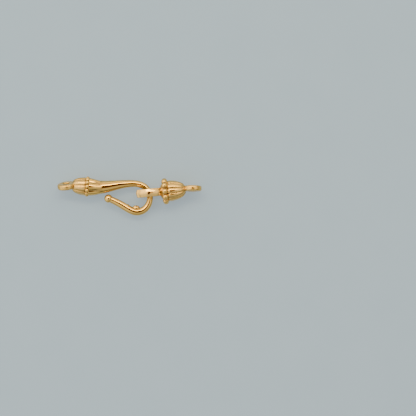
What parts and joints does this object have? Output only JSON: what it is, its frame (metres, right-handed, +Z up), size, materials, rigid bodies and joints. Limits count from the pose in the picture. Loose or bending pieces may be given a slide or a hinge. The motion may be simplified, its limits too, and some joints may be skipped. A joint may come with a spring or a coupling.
{
  "type": "hook and eye clasp",
  "caption": "Necklace clasp with a bud-shaped hook half and a bell-shaped eye half, beaded rims, fastened through a round loop.",
  "frame": {"origin": "on the resting surface, below the middle of the clasp's bounding box", "axes": "+X from the hook half's end ring to the eye half's end ring, +Y away from the hook's open side, +Z up from the surface"},
  "size_m": [0.038, 0.0102, 0.0068],
  "materials": {
    "hook_metal": "polished 18 carat gold",
    "eye_metal": "polished 18 carat gold"
  },
  "bodies": {
    "root": {"hook": "hook_metal", "eye": "eye_metal"}
  },
  "joints": []
}
